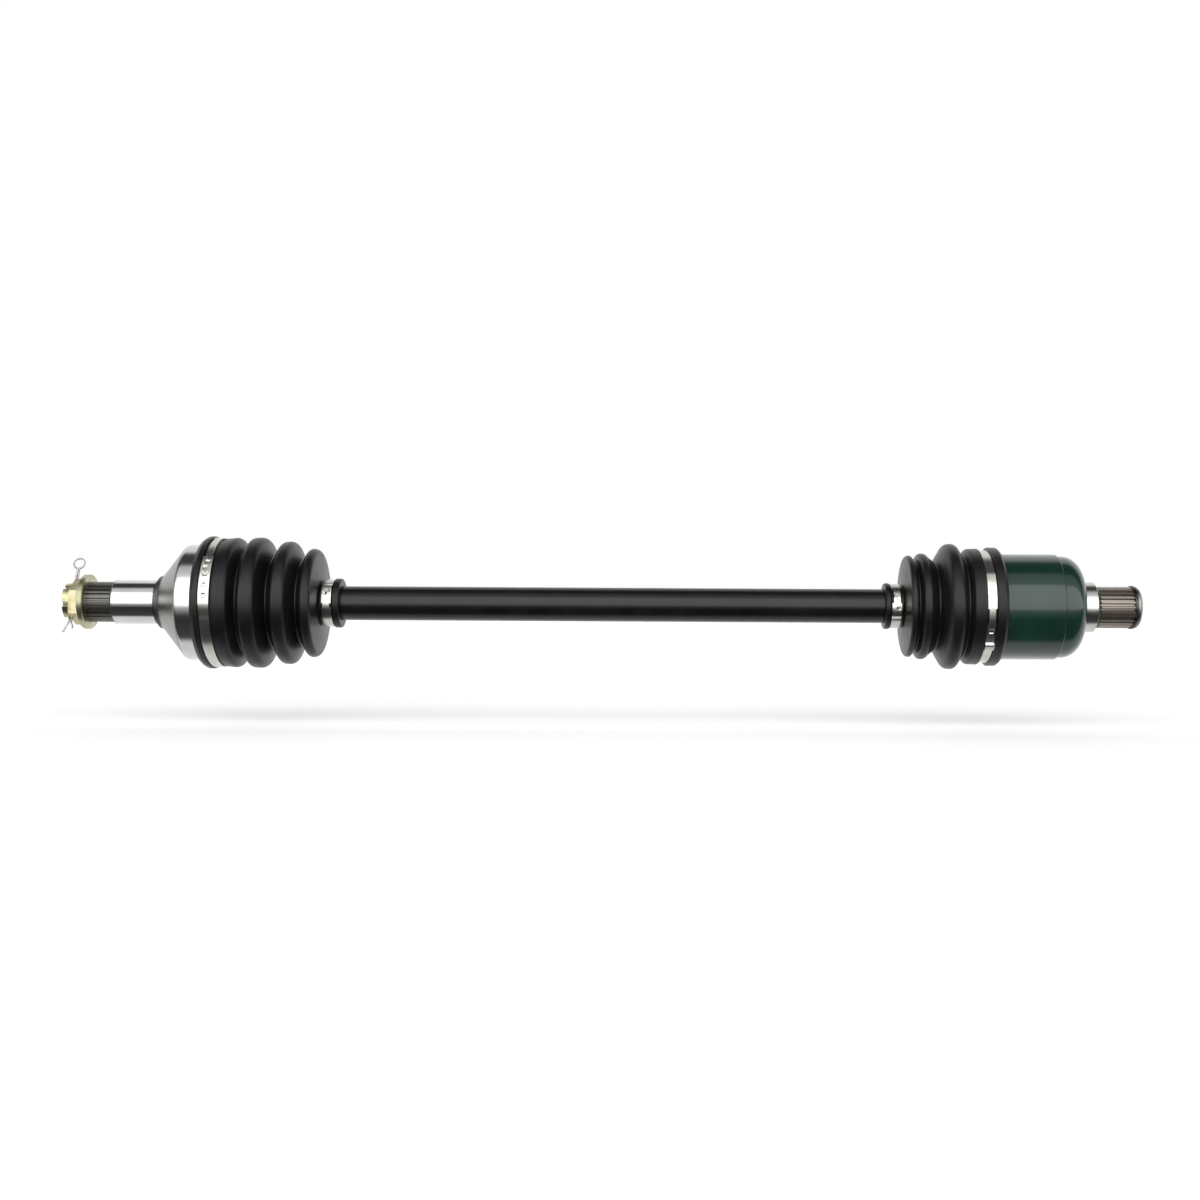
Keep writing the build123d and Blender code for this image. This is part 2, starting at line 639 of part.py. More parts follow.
with BuildPart() as inboard_outer_race:
    with BuildSketch(Plane.XZ):
        with BuildLine():
            FilletPolyline(
                (cup_mouth_x, 0),
                (cup_mouth_x, cup_r),
                (cup_step_x, cup_r),
                (cup_step_x + cup_step_slope, cup_rear_r),
                (cup_back_x, cup_rear_r),
                (cup_back_x, seal_journal_d / 2),
                radius=(lip_round, cup_step_round, cup_step_round, cup_corner_round),
            )
            Polyline(
                (cup_back_x, seal_journal_d / 2),
                (seal_end_x, seal_journal_d / 2),
                (gear_spline_x, gear_r - gear_spline_depth),
                (gear_groove_x, gear_r - gear_spline_depth),
                (gear_groove_x, gear_r - gear_groove_depth),
                (gear_groove_x + gear_groove_width, gear_r - gear_groove_depth),
                (gear_groove_x + gear_groove_width, gear_r),
                (gear_tip_x - gear_tip_chamfer, gear_r),
                (gear_tip_x, gear_r - gear_tip_chamfer),
                (gear_tip_x, 0),
                (cup_mouth_x, 0),
            )
        make_face()
    revolve(axis=Axis.X)
    spline_prism(gear_spline_x, gear_groove_x - gear_spline_x, gear_spline_d, gear_spline_depth,
                 gear_spline_teeth)
    turned((cup_mouth_x - cut_past, 0), (cup_floor_x, 0), (cup_floor_x, inboard_bore_r),
           (cup_mouth_x + cup_mouth_flare_length, inboard_bore_r),
           (cup_mouth_x, inboard_bore_r + cup_mouth_flare),
           (cup_mouth_x - cut_past, inboard_bore_r + cup_mouth_flare),
           mode=Mode.SUBTRACT)
    for angle in ball_angles:
        with BuildSketch(Plane.YZ.offset(cup_mouth_x - cut_past)):
            with PolarLocations(inboard_pitch_r, 1, angle):
                SlotCenterToCenter(2 * inboard_drift, 2 * (inboard_ball_r + track_gap), rotation=90)
        extrude(amount=track_end_x - cup_mouth_x + cut_past, mode=Mode.SUBTRACT)
    groove_middle = inboard_band_x + inboard_band_width / 2
    ring(groove_middle - cuff_groove_width / 2, groove_middle + cuff_groove_width / 2,
         cup_r - cuff_groove_depth, cup_r + cut_past, mode=Mode.SUBTRACT)
    with BuildSketch(Plane.XZ):
        with Locations((stopper_x, stopper_r)):
            Circle(stopper_wire / 2 + stopper_groove_gap)
    revolve(axis=Axis.X, mode=Mode.SUBTRACT)
    turned((gear_tip_x + cut_past, 0), (gear_tip_x + cut_past, centre_drill_d / 2),
           (gear_tip_x, centre_drill_d / 2), (gear_tip_x - centre_drill_depth, 0), mode=Mode.SUBTRACT)
inboard_outer_race.part.label = "inboard_outer_race"
export_step(inboard_outer_race.part, "parts/inboard_outer_race.step")

through_track = track_cutter(inboard_x, inboard_pitch_r, inboard_ball_r, inboard_drift,
                             through_swing)

with BuildPart() as inboard_inner_race:
    inner_race(inboard_x, inboard_race_width, inboard_race_sphere, through_track)
inboard_inner_race.part.label = "inboard_inner_race"
export_step(inboard_inner_race.part, "parts/inboard_inner_race.step")

with BuildPart() as inboard_cage:
    cage(inboard_x, inboard_cage_width, inboard_cage_inner, inboard_cage_outer, inboard_ball_r)
inboard_cage.part.label = "inboard_cage"
export_step(inboard_cage.part, "parts/inboard_cage.step")

for number, angle in enumerate(ball_angles, start=1):
    with BuildPart() as inboard_ball:
        ball(inboard_x, inboard_pitch_r, inboard_ball_r, angle)
    inboard_ball.part.label = f"inboard_ball_{number}"
    export_step(inboard_ball.part, f"parts/inboard_ball_{number}.step")

with BuildPart() as inboard_stopper_ring:
    with BuildSketch(Plane.XZ):
        with Locations((stopper_x, stopper_r)):
            Circle(stopper_wire / 2)
    revolve(axis=Axis.X)
    with BuildSketch(radial_plane(stopper_x, 0)):
        Rectangle(2 * stopper_wire, clip_gap)
    extrude(amount=2 * stopper_r, mode=Mode.SUBTRACT)
inboard_stopper_ring.part.label = "inboard_stopper_ring"
export_step(inboard_stopper_ring.part, "parts/inboard_stopper_ring.step")

with BuildPart() as stub_circlip:
    groove_end_x = gear_groove_x + gear_groove_width
    split_ring(gear_groove_x + stub_circlip_side_gap, groove_end_x - stub_circlip_side_gap,
               gear_r - gear_groove_depth, gear_r + stub_circlip_proud, clip_gap, circlip_gap_angle)
stub_circlip.part.label = "stub_circlip"
export_step(stub_circlip.part, "parts/stub_circlip.step")

# ---- outboard boot and its clamps -------------------------------------------------------------

small_cuff_inner = bar_r + boot_play
small_cuff_r = small_cuff_inner + small_cuff_wall
bead_r = small_cuff_r + small_bead_rise
rib_half = cuff_groove_width / 2
outboard_cuff_r = bell_r + outboard_cuff_wall
outboard_lip_r = bell_r + outboard_lip_wall
outboard_boot_start = bell_mouth_x - outboard_lip_setback
outboard_small_x = bell_mouth_x + outboard_small_band_reach
outboard_small_end = outboard_small_x + outboard_small_band_width
outboard_boot_end = outboard_small_end + outboard_bead_length
outboard_rib_mid = outboard_band_x + outboard_band_width / 2

with BuildPart() as outboard_boot:
    crests = [(bell_mouth_x + reach, bell_r + rise) for reach, rise in outboard_folds]
    outline = [
        (outboard_boot_start, bell_r),
        (outboard_boot_start, outboard_lip_r - outboard_lip_slope[1]),
        (outboard_boot_start + outboard_lip_slope[0], outboard_lip_r),
        (outboard_band_x, outboard_lip_r),
        (outboard_band_x, outboard_cuff_r),
        (outboard_band_x + outboard_band_width, outboard_cuff_r),
    ] + crests + [
        (outboard_small_x - cuff_corner_gap, small_cuff_r),
        (outboard_small_end, small_cuff_r),
        (outboard_small_end + bead_slope, bead_r),
        (outboard_boot_end, bead_r),
        (outboard_boot_end, small_cuff_inner),
    ]
    rounds = [corner_round] * 3 + [0, 0] + [crest_round] * len(crests)
    rounds += [corner_round, 0, bead_round, corner_round]
    first_inner = bell_mouth_x + outboard_boot_wall + mouth_clear
    inner = [
        (outboard_boot_start, bell_r),
        (outboard_rib_mid - rib_half, bell_r),
        (outboard_rib_mid - rib_half, bell_r - cuff_groove_depth),
        (outboard_rib_mid + rib_half, bell_r - cuff_groove_depth),
        (outboard_rib_mid + rib_half, bell_r),
        (bell_mouth_x + mouth_clear, bell_r),
    ] + [(x, r - outboard_boot_wall) for x, r in crests[:-1] if x > first_inner] + [
        (crests[-1][0] - outboard_boot_wall, crests[-1][1] - outboard_boot_wall),
        (outboard_small_x - outboard_boot_wall, small_cuff_inner),
        (outboard_boot_end, small_cuff_inner),
    ]
    boot(outline, rounds, inner)
outboard_boot.part.label = "outboard_boot"
export_step(outboard_boot.part, "parts/outboard_boot.step")

with BuildPart() as outboard_large_clamp:
    clamp(outboard_band_x, outboard_band_width, outboard_cuff_r, band_thickness, ear_height,
          outboard_ear_angle)
outboard_large_clamp.part.label = "outboard_large_clamp"
export_step(outboard_large_clamp.part, "parts/outboard_large_clamp.step")

with BuildPart() as outboard_small_clamp:
    clamp(outboard_small_x, outboard_small_band_width, small_cuff_r + boot_play, small_band_thickness,
          small_ear_height, outboard_ear_angle)
outboard_small_clamp.part.label = "outboard_small_clamp"
export_step(outboard_small_clamp.part, "parts/outboard_small_clamp.step")

# ---- inboard boot and its clamps ---------------------------------------------------------------

inboard_seat_r = cup_r + boot_play
inboard_cuff_r = inboard_seat_r + inboard_cuff_wall
inboard_lip_r = cup_r + inboard_lip_wall
inboard_band_end = inboard_band_x + inboard_band_width
inboard_boot_end = cup_mouth_x + inboard_lip_setback
inboard_small_x = cup_mouth_x - inboard_small_band_reach
inboard_small_end = inboard_small_x + inboard_small_band_width
inboard_boot_start = inboard_small_x - inboard_bead_length
inboard_rib_low = inboard_band_x + inboard_band_width / 2 - rib_half + boot_play
inboard_rib_high = inboard_rib_low + cuff_groove_width - 2 * boot_play

with BuildPart() as inboard_boot:
    crests = [(cup_mouth_x - reach, cup_r + rise) for reach, rise in inboard_folds]
    outline = [
        (inboard_boot_start, small_cuff_inner),
        (inboard_boot_start, bead_r),
        (inboard_small_x - bead_slope, bead_r),
        (inboard_small_x, small_cuff_r),
        (inboard_small_end + cuff_corner_gap, small_cuff_r),
    ] + crests + [
        (inboard_band_x, cup_r + inboard_cuff_crest),
        (inboard_band_x, inboard_cuff_r),
        (inboard_band_end, inboard_cuff_r),
        (inboard_band_end, inboard_lip_r),
        (inboard_boot_end - inboard_lip_slope[0], inboard_lip_r),
        (inboard_boot_end, inboard_lip_r - inboard_lip_slope[1]),
        (inboard_boot_end, inboard_seat_r),
    ]
    rounds = [corner_round, bead_round, 0, corner_round] + [inboard_crest_round] * len(crests)
    rounds += [corner_round, 0, 0] + [corner_round] * 3
    last_inner = cup_mouth_x - inboard_boot_wall - mouth_clear
    inner = [
        (inboard_boot_start, small_cuff_inner),
        (inboard_small_end + inboard_boot_wall - mouth_clear, small_cuff_inner),
    ] + [(x, r - inboard_boot_wall) for x, r in crests if x < last_inner] + [
        (cup_mouth_x - mouth_clear, inboard_seat_r),
        (inboard_rib_low, inboard_seat_r),
        (inboard_rib_low, inboard_seat_r - cuff_groove_depth),
        (inboard_rib_high, inboard_seat_r - cuff_groove_depth),
        (inboard_rib_high, inboard_seat_r),
        (inboard_boot_end, inboard_seat_r),
    ]
    boot(outline, rounds, inner)
inboard_boot.part.label = "inboard_boot"
export_step(inboard_boot.part, "parts/inboard_boot.step")

with BuildPart() as inboard_large_clamp:
    clamp(inboard_band_x + boot_play, inboard_band_width - 2 * boot_play, inboard_cuff_r + boot_play,
          band_thickness, ear_height, inboard_ear_angle)
inboard_large_clamp.part.label = "inboard_large_clamp"
export_step(inboard_large_clamp.part, "parts/inboard_large_clamp.step")

with BuildPart() as inboard_small_clamp:
    clamp(inboard_small_x, inboard_small_band_width, small_cuff_r + boot_play, small_band_thickness,
          small_ear_height, inboard_small_ear_angle)
inboard_small_clamp.part.label = "inboard_small_clamp"
export_step(inboard_small_clamp.part, "parts/inboard_small_clamp.step")
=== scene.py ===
import math

import bpy
import numpy as np
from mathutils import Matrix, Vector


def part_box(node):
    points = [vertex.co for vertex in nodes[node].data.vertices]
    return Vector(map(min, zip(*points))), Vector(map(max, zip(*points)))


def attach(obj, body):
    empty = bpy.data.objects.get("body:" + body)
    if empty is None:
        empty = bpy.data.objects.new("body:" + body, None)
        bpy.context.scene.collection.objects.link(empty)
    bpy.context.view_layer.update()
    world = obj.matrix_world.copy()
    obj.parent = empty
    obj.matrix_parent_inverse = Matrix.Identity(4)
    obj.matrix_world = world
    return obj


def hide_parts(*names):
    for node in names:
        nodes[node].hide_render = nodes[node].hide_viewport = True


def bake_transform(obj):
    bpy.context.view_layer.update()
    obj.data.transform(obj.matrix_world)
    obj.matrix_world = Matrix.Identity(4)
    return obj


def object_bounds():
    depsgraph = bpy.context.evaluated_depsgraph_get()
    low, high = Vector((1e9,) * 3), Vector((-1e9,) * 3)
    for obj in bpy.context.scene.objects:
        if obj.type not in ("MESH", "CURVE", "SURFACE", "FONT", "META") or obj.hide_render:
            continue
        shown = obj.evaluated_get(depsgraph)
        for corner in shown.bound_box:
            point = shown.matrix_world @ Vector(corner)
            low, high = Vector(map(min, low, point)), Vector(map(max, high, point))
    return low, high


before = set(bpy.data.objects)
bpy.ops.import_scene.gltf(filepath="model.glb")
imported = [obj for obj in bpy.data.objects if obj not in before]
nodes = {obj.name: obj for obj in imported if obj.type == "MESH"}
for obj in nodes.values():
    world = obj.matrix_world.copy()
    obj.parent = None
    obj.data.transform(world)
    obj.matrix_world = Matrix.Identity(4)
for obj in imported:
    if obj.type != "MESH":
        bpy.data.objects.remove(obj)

cad_box = [list(corner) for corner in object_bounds()]

# ---- camera ------------------------------------------------------------------------------
# A normal lens a metre away, level with the axle and square to it, opposite a point a
# little towards the gearbox end, and rolled so that the gearbox end hangs slightly lower.
lens = bpy.data.cameras.new("camera")
lens.sensor_width = 36.0
lens.lens = 45.0
lens.shift_x = -0.045
lens.dof.use_dof = False
camera = bpy.data.objects.new("camera", lens)
camera.location = (0.3505, -1.02, 0.0033)
camera.rotation_euler = (math.radians(90), math.radians(-0.32), 0)
bpy.context.collection.objects.link(camera)
bpy.context.scene.camera = camera
bpy.context.scene.view_settings.view_transform = "Standard"

# ---- studio light --------------------------------------------------------------------------
# A long soft box hangs in front above the axle and the backdrop behind is lit white. The
# floor in front and a strip overhead stay dark, which draws the bands on turned steel.
def grey(level):
    """A neutral colour."""
    return (level, level, level)


def ramp(tree, value, stops, interpolation="LINEAR"):
    """A colour for each value from 0 to 1, from (value, colour) stops in rising order."""
    node = tree.nodes.new("ShaderNodeValToRGB")
    node.color_ramp.interpolation = interpolation
    while len(node.color_ramp.elements) < len(stops):
        node.color_ramp.elements.new(1.0)
    for element, (place, colour) in zip(node.color_ramp.elements, stops):
        element.position = place
        element.color = (*colour, 1)
    tree.links.new(value, node.inputs["Fac"])
    return node.outputs["Color"]


studio = bpy.data.worlds.new("studio")
bpy.context.scene.world = studio
studio.use_nodes = True
air = studio.node_tree
air.nodes.clear()
towards = air.nodes.new("ShaderNodeTexCoord")
direction = air.nodes.new("ShaderNodeSeparateXYZ")
facing = air.nodes.new("ShaderNodeMath")
facing.operation = "MULTIPLY"
facing.inputs[1].default_value = -1.0
height = air.nodes.new("ShaderNodeMath")
height.operation = "ARCTAN2"
turn = air.nodes.new("ShaderNodeMapRange")
turn.inputs["From Min"].default_value = -math.pi
turn.inputs["From Max"].default_value = math.pi
air.links.new(towards.outputs["Generated"], direction.inputs[0])
air.links.new(direction.outputs["Y"], facing.inputs[0])
air.links.new(direction.outputs["Z"], height.inputs[0])
air.links.new(facing.outputs[0], height.inputs[1])
air.links.new(height.outputs[0], turn.inputs["Value"])
# Each band is (degrees up from the front, brightness).
light_bands = ((-180, 0.42), (-88, 0.34), (-74, 0.025), (-28, 0.015), (-11, 0.16), (-2, 0.92),
               (46, 0.95), (52, 0.33), (72, 0.26), (83, 0.02), (108, 0.02), (124, 0.38), (180, 0.42))
lit = ramp(air, turn.outputs[0],
           [((degrees + 180) / 360, grey(brightness)) for degrees, brightness in light_bands], "EASE")
glow = air.nodes.new("ShaderNodeBackground")
glow.inputs["Strength"].default_value = 2.6
backdrop = air.nodes.new("ShaderNodeBackground")
backdrop.inputs["Color"].default_value = (1, 1, 1, 1)
seen = air.nodes.new("ShaderNodeLightPath")
either = air.nodes.new("ShaderNodeMixShader")
sky = air.nodes.new("ShaderNodeOutputWorld")
air.links.new(lit, glow.inputs["Color"])
air.links.new(seen.outputs["Is Camera Ray"], either.inputs[0])
air.links.new(glow.outputs[0], either.inputs[1])
air.links.new(backdrop.outputs[0], either.inputs[2])
air.links.new(either.outputs[0], sky.inputs["Surface"])


# ---- floor ---------------------------------------------------------------------------------
# Plain white paper, low enough for the wheel end to swing down to its limit above it. It
# gives no reflection of its own on the steel, so the bands stay those of the studio.
def new_material(name, colour, metallic, roughness):
    """A material with its shader's plain values set, and the shader and node tree to build on."""
    material = bpy.data.materials.new(name)
    material.use_nodes = True
    shader = material.node_tree.nodes["Principled BSDF"]
    shader.inputs["Base Color"].default_value = (*colour, 1)
    shader.inputs["Metallic"].default_value = metallic
    shader.inputs["Roughness"].default_value = roughness
    return material, shader, material.node_tree


floor_half = 30.0
room_to_swing = 0.037
floor_z = cad_box[0][2] - room_to_swing
floor_mesh = bpy.data.meshes.new("floor")
floor_mesh.from_pydata([(-floor_half, -floor_half, floor_z), (floor_half, -floor_half, floor_z),
                        (floor_half, floor_half, floor_z), (-floor_half, floor_half, floor_z)],
                       [], [(0, 1, 2, 3)])
floor = bpy.data.objects.new("floor", floor_mesh)
floor.visible_glossy = False
bpy.context.collection.objects.link(floor)
paper, shader, _ = new_material("white_paper", (0.9, 0.9, 0.9), 0.0, 0.9)
shader.inputs["Specular IOR Level"].default_value = 0.0
shader.inputs["Emission Color"].default_value = (1, 1, 1, 1)
shader.inputs["Emission Strength"].default_value = 0.25
floor_mesh.materials.append(paper)

# ---- wheel-end stub and bell ------------------------------------------------------------------
# One steel forging, turned all over: a threaded end, a rolled spline, a ground bearing
# journal and the bell of the outer joint. Only the spline and the neck are left dull.
bell_low, bell_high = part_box("outboard_outer_race")


def position(tree):
    """The three object coordinates, for a pattern fixed to the piece."""
    place = tree.nodes.new("ShaderNodeTexCoord")
    split = tree.nodes.new("ShaderNodeSeparateXYZ")
    tree.links.new(place.outputs["Object"], split.inputs[0])
    return place.outputs["Object"], split


def grain(tree, scale, stretch=(1, 1, 1), detail=4.0):
    """Noise of that scale, squeezed by stretch along each object axis."""
    where, _ = position(tree)
    mapping = tree.nodes.new("ShaderNodeMapping")
    mapping.inputs["Scale"].default_value = stretch
    noise = tree.nodes.new("ShaderNodeTexNoise")
    noise.inputs["Scale"].default_value = scale
    noise.inputs["Detail"].default_value = detail
    tree.links.new(where, mapping.inputs["Vector"])
    tree.links.new(mapping.outputs[0], noise.inputs["Vector"])
    return noise.outputs["Fac"]


def spread(tree, value, low, high):
    """A value from 0 to 1 stretched to run from low to high."""
    node = tree.nodes.new("ShaderNodeMapRange")
    node.inputs["To Min"].default_value = low
    node.inputs["To Max"].default_value = high
    tree.links.new(value, node.inputs["Value"])
    return node.outputs[0]


def relief(tree, shader, value, depth):
    """Relief of that depth in metres from a value from 0 to 1."""
    node = tree.nodes.new("ShaderNodeBump")
    node.inputs["Strength"].default_value = 1.0
    node.inputs["Distance"].default_value = depth
    tree.links.new(value, node.inputs["Height"])
    tree.links.new(node.outputs[0], shader.inputs["Normal"])


def along(tree, low, high):
    """How far a point lies between two places along the axle, from 0 to 1."""
    _, split = position(tree)
    node = tree.nodes.new("ShaderNodeMapRange")
    node.inputs["From Min"].default_value = low
    node.inputs["From Max"].default_value = high
    tree.links.new(split.outputs["X"], node.inputs["Value"])
    return node.outputs[0]


def multiplied(tree, colour, share):
    """A colour times a share."""
    node = tree.nodes.new("ShaderNodeMix")
    node.data_type = "RGBA"
    node.blend_type = "MULTIPLY"
    share_of_mix, base, by = node.inputs[0], node.inputs[6], node.inputs[7]
    share_of_mix.default_value = 1.0
    tree.links.new(colour, base)
    tree.links.new(share, by)
    return node.outputs[2]


def zoned_steel(name, low, high, zones):
    """Turned steel whose colour and roughness change along the axle between two places. Each zone
    is (start, colour, roughness)."""
    material, shader, tree = new_material(name, (0.6, 0.6, 0.6), 1.0, 0.25)
    where = along(tree, low, high)
    length = high - low
    colour = ramp(tree, where, [((x - low) / length, shade) for x, shade, _ in zones], "CONSTANT")
    dull = ramp(tree, where, [((x - low) / length, grey(rough)) for x, _, rough in zones], "CONSTANT")
    blotches = spread(tree, grain(tree, 55.0), 0.75, 1.12)
    tree.links.new(multiplied(tree, colour, blotches), shader.inputs["Base Color"])
    smears = spread(tree, grain(tree, 160.0, (2, 0.5, 0.5)), 0.8, 1.3)
    tree.links.new(multiplied(tree, dull, smears), shader.inputs["Roughness"])
    turning_marks = 0.0000016
    relief(tree, shader, grain(tree, 2600.0, (1, 0.01, 0.01), 2.0), turning_marks)
    return material


thread_length, spline_length, spline_runout = 0.0162, 0.017, 0.001
journal_length, undercut_width, neck_length, cone_length = 0.028, 0.0022, 0.0027, 0.0174
stub_tip = bell_low[0]
thread_end = stub_tip + thread_length
spline_end = thread_end + spline_length
journal_start = spline_end + spline_runout
journal_end = journal_start + journal_length
cone_start = journal_end + undercut_width + neck_length
bell_start = cone_start + cone_length
forged_bell = zoned_steel("turned_bell_steel", stub_tip, bell_high[0], (
    (stub_tip, (0.36, 0.34, 0.29), 0.38),
    (thread_end, (0.17, 0.165, 0.15), 0.42),
    (spline_end, (0.25, 0.245, 0.235), 0.35),
    (journal_start, (0.72, 0.7, 0.7), 0.13),
    (journal_end, (0.11, 0.108, 0.104), 0.42),
    (cone_start, (0.3, 0.297, 0.285), 0.3),
    (bell_start, (0.66, 0.65, 0.64), 0.16),
))


def finish_node(name, material):
    """Give a carried-over node its finish."""
    mesh = nodes[name].data
    mesh.materials.clear()
    mesh.materials.append(material)


finish_node("outboard_outer_race", forged_bell)

# ---- castle nut and hub washer ------------------------------------------------------------------
# Steel in yellow zinc, which shows pale gold with faint green and pink clouds. The nut's
# slots take the cotter pin.
yellow_zinc, shader, tree = new_material("yellow_zinc", (0.7, 0.62, 0.38), 1.0, 0.3)
clouds = ramp(tree, grain(tree, 130.0), ((0.3, (0.24, 0.25, 0.12)), (0.46, (0.5, 0.46, 0.27)),
                                         (0.58, (0.56, 0.5, 0.33)), (0.72, (0.38, 0.26, 0.18))))
tree.links.new(clouds, shader.inputs["Base Color"])
tree.links.new(spread(tree, grain(tree, 420.0), 0.2, 0.42), shader.inputs["Roughness"])
relief(tree, shader, grain(tree, 1500.0), 0.00002)
finish_node("castle_nut", yellow_zinc)

pale_zinc, shader, tree = new_material("pale_zinc", (0.62, 0.6, 0.46), 1.0, 0.35)
clouds = ramp(tree, grain(tree, 90.0), ((0.35, (0.34, 0.34, 0.22)), (0.65, (0.58, 0.57, 0.4))))
tree.links.new(clouds, shader.inputs["Base Color"])
tree.links.new(spread(tree, grain(tree, 300.0), 0.25, 0.45), shader.inputs["Roughness"])
relief(tree, shader, grain(tree, 1200.0), 0.00002)
finish_node("hub_washer", pale_zinc)

# ---- cotter pin ----------------------------------------------------------------------------------
# Half-round steel wire folded on itself with an eye at the fold, pushed through the nut
# and bent apart below.
drawn_wire, shader, tree = new_material("drawn_wire", (0.42, 0.42, 0.42), 1.0, 0.3)
tree.links.new(ramp(tree, grain(tree, 500.0), ((0.35, grey(0.3)), (0.65, grey(0.52)))),
               shader.inputs["Base Color"])
relief(tree, shader, grain(tree, 2500.0), 0.00001)
finish_node("cotter_pin", drawn_wire)

# ---- axle bar ------------------------------------------------------------------------------------
# A forged steel bar, splined and necked at both ends and painted satin black between.
bar_paint, shader, tree = new_material("satin_black_paint", (0.006, 0.006, 0.007), 0.0, 0.3)
shader.inputs["Specular IOR Level"].default_value = 0.25
shader.inputs["Coat Weight"].default_value = 0.3
shader.inputs["Coat Roughness"].default_value = 0.18
tree.links.new(ramp(tree, grain(tree, 70.0), ((0.3, (0.002, 0.002, 0.0024)),
                                              (0.7, (0.005, 0.005, 0.0056)))),
               shader.inputs["Base Color"])
tree.links.new(spread(tree, grain(tree, 240.0, (0.4, 1, 1)), 0.24, 0.4), shader.inputs["Roughness"])
relief(tree, shader, grain(tree, 900.0), 0.000012)
finish_node("axle_bar", bar_paint)

# ---- balls, cages, races and rings inside the joints ----------------------------------------------
# Bearing steel: ground balls, hardened cages and races with a brown film of heat and
# grease, and blued spring rings.
ball_steel, shader, tree = new_material("ground_ball_steel", (0.7, 0.7, 0.72), 1.0, 0.08)
tree.links.new(spread(tree, grain(tree, 300.0), 0.05, 0.12), shader.inputs["Roughness"])
race_steel, shader, tree = new_material("hardened_race_steel", (0.4, 0.37, 0.33), 1.0, 0.3)
tree.links.new(ramp(tree, grain(tree, 90.0), ((0.3, (0.3, 0.26, 0.22)), (0.7, (0.5, 0.48, 0.44)))),
               shader.inputs["Base Color"])
relief(tree, shader, grain(tree, 1800.0, (1, 0.2, 0.2)), 0.000004)
spring_steel, shader, tree = new_material("blued_spring_steel", (0.05, 0.05, 0.055), 1.0, 0.32)
tree.links.new(ramp(tree, grain(tree, 400.0), ((0.3, (0.03, 0.03, 0.035)), (0.7, (0.09, 0.085, 0.08)))),
               shader.inputs["Base Color"])
for name in sorted(nodes):
    if "_ball_" in name:
        finish_node(name, ball_steel)
    elif name.endswith("_cage") or name.endswith("inner_race"):
        finish_node(name, race_steel)
    elif name.endswith("_clip") or name.endswith("_circlip") or name.endswith("_ring"):
        finish_node(name, spring_steel)

# ---- gearbox-end cup and stub -----------------------------------------------------------------------
# One forging again, turned and splined behind the cup. The cup is painted deep green all
# over, and the journal and spline behind it are left bare.
cup_low, cup_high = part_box("inboard_outer_race")
stub_end = cup_high[0]
stub_length, seal_journal_length, stub_cone_length, stub_tip_length = 0.0403, 0.0095, 0.003, 0.005
paint_lap = 0.0001
cup_back = stub_end - stub_length
journal_stop = cup_back + seal_journal_length
gear_spline_start = journal_stop + stub_cone_length
gear_groove = stub_end - stub_tip_length
bare_stub = zoned_steel("turned_stub_steel", cup_low[0], stub_end, (
    (cup_low[0], (0.6, 0.6, 0.59), 0.2),
    (journal_stop, (0.3, 0.29, 0.26), 0.4),
    (gear_spline_start, (0.27, 0.24, 0.215), 0.4),
    (gear_groove, (0.3, 0.28, 0.26), 0.36),
))
tree = bare_stub.node_tree
steel_shader = tree.nodes["Principled BSDF"]
paint_shader = tree.nodes.new("ShaderNodeBsdfPrincipled")
paint_shader.inputs["Roughness"].default_value = 0.3
paint_shader.inputs["Specular IOR Level"].default_value = 0.2
paint_shader.inputs["Coat Weight"].default_value = 0.85
paint_shader.inputs["Coat Roughness"].default_value = 0.05
tree.links.new(ramp(tree, grain(tree, 45.0), ((0.3, (0.0016, 0.0165, 0.0098)),
                                              (0.7, (0.0028, 0.024, 0.0145)))),
               paint_shader.inputs["Base Color"])
relief(tree, paint_shader, grain(tree, 300.0), 0.000018)
edge = tree.nodes.new("ShaderNodeMath")
edge.operation = "GREATER_THAN"
edge.inputs[1].default_value = cup_back + paint_lap
tree.links.new(position(tree)[1].outputs["X"], edge.inputs[0])
paint_or_bare = tree.nodes.new("ShaderNodeMixShader")
tree.links.new(edge.outputs[0], paint_or_bare.inputs[0])
tree.links.new(paint_shader.outputs[0], paint_or_bare.inputs[1])
tree.links.new(steel_shader.outputs[0], paint_or_bare.inputs[2])
tree.links.new(paint_or_bare.outputs[0], tree.nodes["Material Output"].inputs["Surface"])
finish_node("inboard_outer_race", bare_stub)


